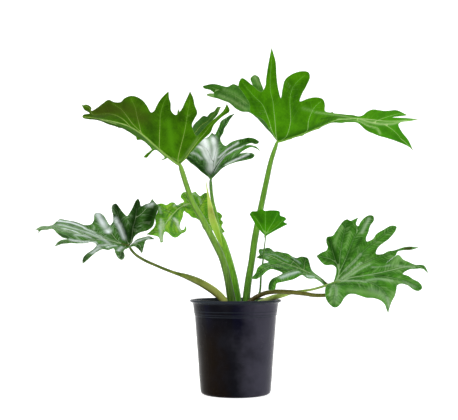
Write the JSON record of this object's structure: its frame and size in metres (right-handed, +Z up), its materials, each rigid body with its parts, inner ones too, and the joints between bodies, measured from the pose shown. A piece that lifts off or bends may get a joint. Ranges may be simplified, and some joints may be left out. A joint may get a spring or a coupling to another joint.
{
  "type": "potted philodendron",
  "caption": "Potted self-heading philodendron with deeply split, long-stalked leaves, in a round tapered nursery pot.",
  "frame": {"origin": "centre of the pot's underside, on the surface that it stands on", "axes": "+Z up along the pot's axis; +X to the right as seen from the front, towards the leaf with the spread tip; +Y away from the viewer"},
  "size_m": [1.0149, 0.3988, 0.8997],
  "materials": {
    "blade_top_right": "semi-gloss leaf skin",
    "petiole_top_right": "satin green stalk",
    "blade_top_left": "semi-gloss leaf skin",
    "petiole_top_left": "satin green stalk",
    "blade_small": "semi-gloss leaf skin",
    "petiole_small": "satin green stalk",
    "blade_middle": "semi-gloss leaf skin",
    "petiole_middle": "satin green stalk",
    "blade_low_left": "semi-gloss leaf skin",
    "petiole_low_left": "satin green stalk",
    "blade_young": "semi-gloss leaf skin",
    "petiole_young": "satin green stalk",
    "blade_low_right": "semi-gloss leaf skin",
    "petiole_low_right": "satin green stalk",
    "blade_turned_back": "semi-gloss leaf skin",
    "petiole_turned_back": "satin green stalk",
    "sheath": "satin pale sheath",
    "crown": "rough stem",
    "soil": "loose and matte",
    "pot": "satin black"
  },
  "bodies": {
    "root": {"blade_top_right": "blade_top_right", "petiole_top_right": "petiole_top_right", "blade_top_left": "blade_top_left", "petiole_top_left": "petiole_top_left", "blade_small": "blade_small", "petiole_small": "petiole_small", "blade_middle": "blade_middle", "petiole_middle": "petiole_middle", "blade_low_left": "blade_low_left", "petiole_low_left": "petiole_low_left", "blade_young": "blade_young", "petiole_young": "petiole_young", "blade_low_right": "blade_low_right", "petiole_low_right": "petiole_low_right", "blade_turned_back": "blade_turned_back", "petiole_turned_back": "petiole_turned_back", "sheath": "sheath", "crown": "crown", "soil": "soil", "pot": "pot"}
  },
  "joints": []
}
